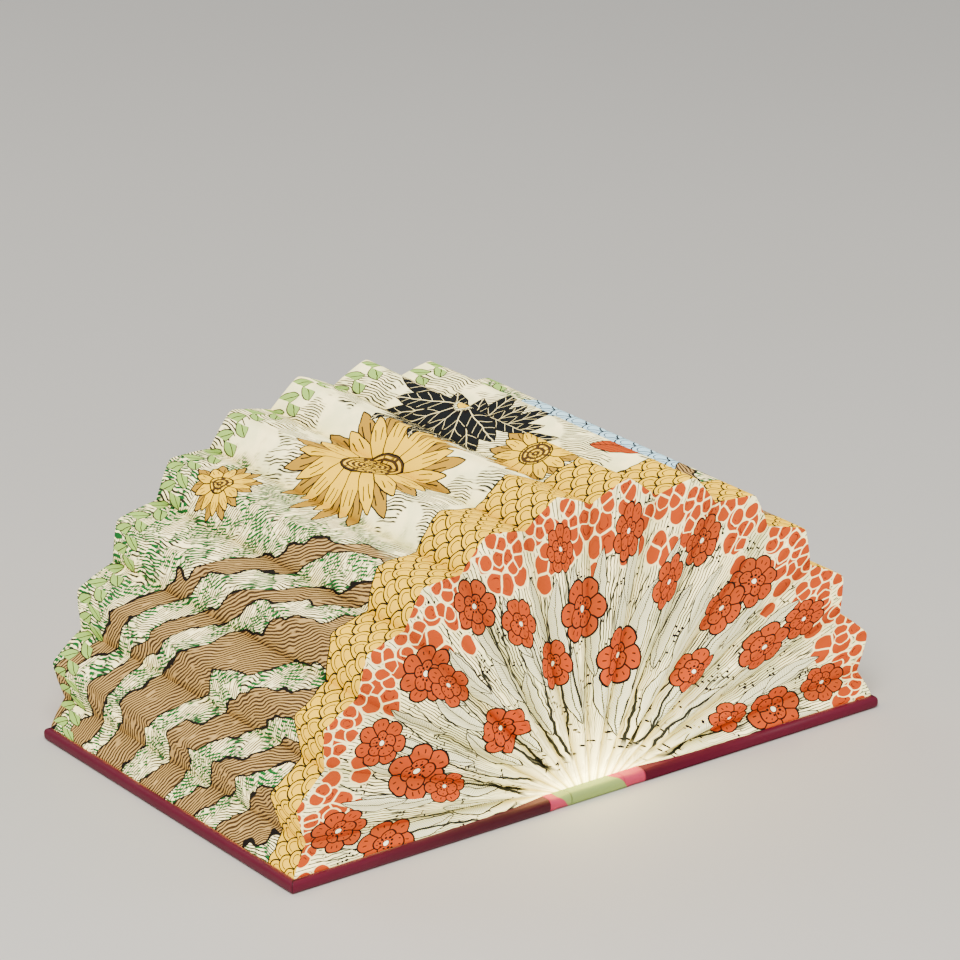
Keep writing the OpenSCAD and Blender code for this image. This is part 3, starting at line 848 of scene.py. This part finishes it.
def makeCover(side, material):
    # A wrapped board: rounded edges, and the cloth's turned-in border standing above the middle
    low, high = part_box(f"{side}_cover_wrap")
    s = 1 if side == "right" else -1
    outer, inner = (high.x, low.x) if s > 0 else (low.x, high.x)
    bm = bmesh.new()
    bmesh.ops.create_cube(bm, size=1)
    bmesh.ops.scale(bm, vec=high - low, verts=bm.verts)
    bmesh.ops.translate(bm, vec=(low + high) / 2, verts=bm.verts)
    upright = [e for e in bm.edges if abs(e.verts[0].co.z - e.verts[1].co.z) > mm
               and abs(e.verts[0].co.x - outer) < 1e-6]
    bmesh.ops.bevel(bm, geom=upright, offset=cover["corner"] * mm, offset_type="OFFSET", segments=5,
                    profile=0.5, affect="EDGES", material=-1)
    rims = [e for e in bm.edges if abs(e.verts[0].co.z - e.verts[1].co.z) < 1e-6
            and not all(abs(v.co.x - inner) < 1e-6 for v in e.verts)]
    bmesh.ops.bevel(bm, geom=rims, offset=cover["edge"] * mm, offset_type="OFFSET", segments=6,
                    profile=0.5, affect="EDGES", material=-1)
    rim = high.y - cover["turnIn"] * mm
    for place, facing in (((outer - s * cover["turnIn"] * mm, 0, 0), (1, 0, 0)), ((0, rim, 0), (0, 1, 0)),
                          ((0, -rim, 0), (0, 1, 0))):
        top = [f for f in bm.faces if min(v.co.z for v in f.verts) > high.z - 1e-6]
        around = {part for f in top for part in (*f.edges, *f.verts)}
        bmesh.ops.bisect_plane(bm, geom=[*top, *around], plane_co=place, plane_no=facing)
    bm.normal_update()
    top = max(bm.faces, key=lambda f: f.normal.z * f.calc_area())
    bmesh.ops.inset_region(bm, faces=[top], thickness=0.2 * mm, depth=-cover["step"] * mm)
    bmesh.ops.recalc_face_normals(bm, faces=bm.faces)
    for face in bm.faces:
        face.smooth = True
    piece = asPiece(f"{side}Cover", bm, [material])
    crisp = piece.modifiers.new("shade", "WEIGHTED_NORMAL")
    crisp.keep_sharp = True
    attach(piece, f"{side}_cover")
    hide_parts(f"{side}_cover_wrap")


joint = {"rows": 12, "round": 2.4, "dip": 0.5, "start": 14.6, "end": 24}


def makeJoint(side, material):
    # The cloth between the spine and a cover, closed at the head and the foot
    s = 1 if side == "right" else -1
    low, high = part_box(f"{side}_joint_lining")
    near, far = (low.x, high.x) if s > 0 else (high.x, low.x)
    top, half = high.z, coverHalf * mm
    bm = bmesh.new()
    bmesh.ops.create_grid(bm, x_segments=joint["rows"], y_segments=1, size=0.5)
    bmesh.ops.scale(bm, vec=(abs(far - near), 2 * half, 1), verts=bm.verts)
    bmesh.ops.translate(bm, vec=((near + far) / 2, 0, 0), verts=bm.verts)
    walls = bmesh.ops.extrude_face_region(bm, geom=bm.faces[:])
    raised = [v for v in walls["geom"] if isinstance(v, bmesh.types.BMVert)]
    bmesh.ops.translate(bm, vec=(0, 0, top), verts=raised)
    bmesh.ops.recalc_face_normals(bm, faces=bm.faces)
    ends = [e for e in bm.edges if all(abs(abs(v.co.y) - half) < 1e-6 for v in e.verts)
            and abs(e.verts[0].co.z - e.verts[1].co.z) < 1e-6 and e.verts[0].co.x != e.verts[1].co.x]
    bmesh.ops.bevel(bm, geom=ends, offset=joint["round"] * mm, offset_type="OFFSET", segments=5, profile=0.5,
                    affect="EDGES", material=-1)
    for vert in bm.verts:
        share = (vert.co.x - near) / (far - near)
        dip = joint["dip"] * math.sin(math.pi * min(1, max(0, share))) ** 2 * mm
        vert.co.z += -dip if vert.co.z > top / 2 else dip * 0.6
    uv = bm.loops.layers.uv.new("print")
    for face in bm.faces:
        face.smooth = True
        middle = face.calc_center_median()
        for loop in face.loops:
            # the print's second coordinate runs along the top, down over the end and back along the bottom
            x, y, z = loop.vert.co
            reach = 2 * half + top - abs(y) - z if middle.z < top * 0.3 else abs(y) + top - z
            loop[uv].uv = (x, math.copysign(reach, middle.y))
    piece = asPiece(f"{side}Joint", bm, [material])
    crisp = piece.modifiers.new("shade", "WEIGHTED_NORMAL")
    crisp.keep_sharp = True
    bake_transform(piece)
    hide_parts(f"{side}_joint_cloth", f"{side}_joint_lining")


def dress(material, *nodes):
    for name in nodes:
        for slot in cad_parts[name].material_slots:
            slot.material = material


def makeCase():
    crimson, pinkPrintAndLitCrimson = coverLeather(), jointLeather()
    for side in ("left", "right"):
        makeCover(side, crimson)
        makeJoint(side, pinkPrintAndLitCrimson)
    dress(spineLeather(), "spine_wrap")
    dress(greyboard(), "spine_board", "left_cover_board", "right_cover_board")
    dress(mottled("liningPaper", "#efe8d4", "#ddd3b8", 8, 0.85), "left_cover_lining", "right_cover_lining")
    print("case made")


def dressLightBar():
    dress(mottled("trayPlastic", "#e9e9e4", "#dcdcd5", 5, 0.5), "light_tray")
    dress(frosted("diffuserPlastic", 1.6), "light_diffuser")
    dress(circuitBoard(), "led_board", "charge_board")
    dress(frosted("ledLens", 6.0), "leds")
    dress(metal("screwSteel", "#b9b9bc", 0.3, 0.4), "board_screws", "usb_socket", "switch_magnet")
    dress(metal("cellFoil", "#c9ccd2", 0.35, 2.0), "battery_cells")
    dress(mottled("chipPlastic", "#1d1d1f", "#29292c", 0.6, 0.55), "hall_switch")
    dress(wireSkin(), "wire_leads")
    print("light bar dressed")


def layFloor():
    f = Finish("floorCard", Roughness=0.6)
    f.place(scale=1)
    colour = f.paint(ink("#e4e1da"), ink("#dedad2"), f.cloud(0.5))
    f.wear(colour)
    bm = bmesh.new()
    bmesh.ops.create_grid(bm, x_segments=1, y_segments=1, size=studio["floor"])
    floor = asPiece("floor", bm, [f.material])


placeCamera()
lightStudio()
layFloor()
makePages()
makeCase()
dressLightBar()
print("done")
